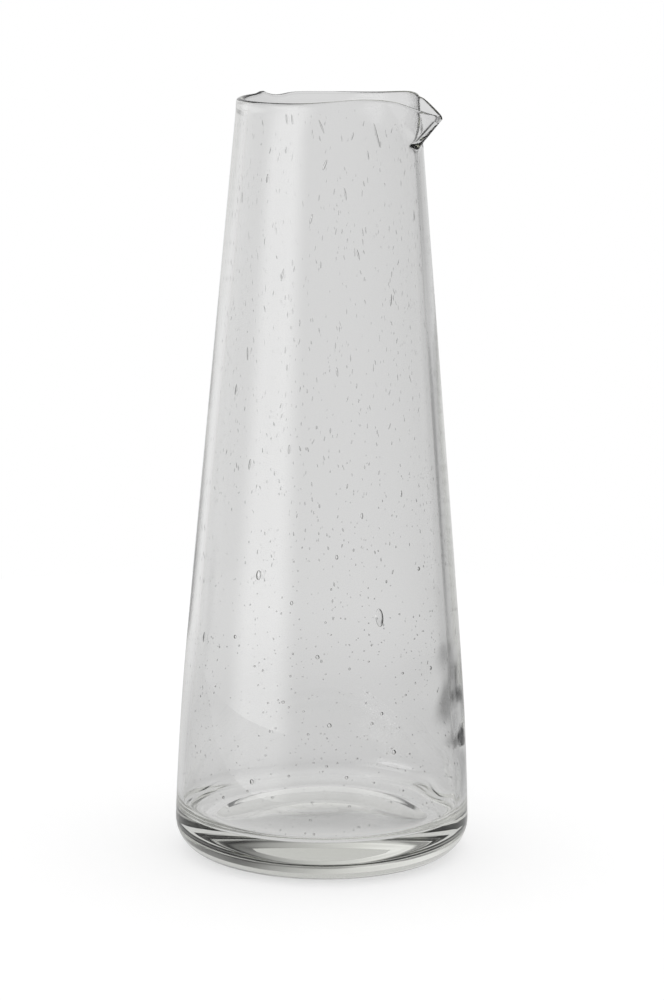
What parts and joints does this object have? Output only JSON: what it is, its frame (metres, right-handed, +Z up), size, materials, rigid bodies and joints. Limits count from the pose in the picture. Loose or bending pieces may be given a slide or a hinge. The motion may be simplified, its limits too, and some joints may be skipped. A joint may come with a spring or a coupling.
{
  "type": "water carafe",
  "caption": "Tall tapered blown-glass carafe with a rounded heel, a thick base hollowed underneath, a fire-polished rim and a short pulled pouring spout; clear glass full of gas seeds.",
  "frame": {"origin": "middle of the foot, in the plane of the table", "axes": "+Z up the carafe's axis to the mouth; +X from the axis to the tip of the spout"},
  "size_m": [0.0976, 0.0976, 0.25],
  "materials": {
    "seeded_glass": "clear fire-polished glass with gas seeds, slightly rippled",
    "seed_gas": "gas sealed in the glass, seen as bright dots and streaks"
  },
  "bodies": {
    "root": {"glass_body": "seeded_glass", "gas_seeds": "seed_gas"}
  },
  "joints": []
}
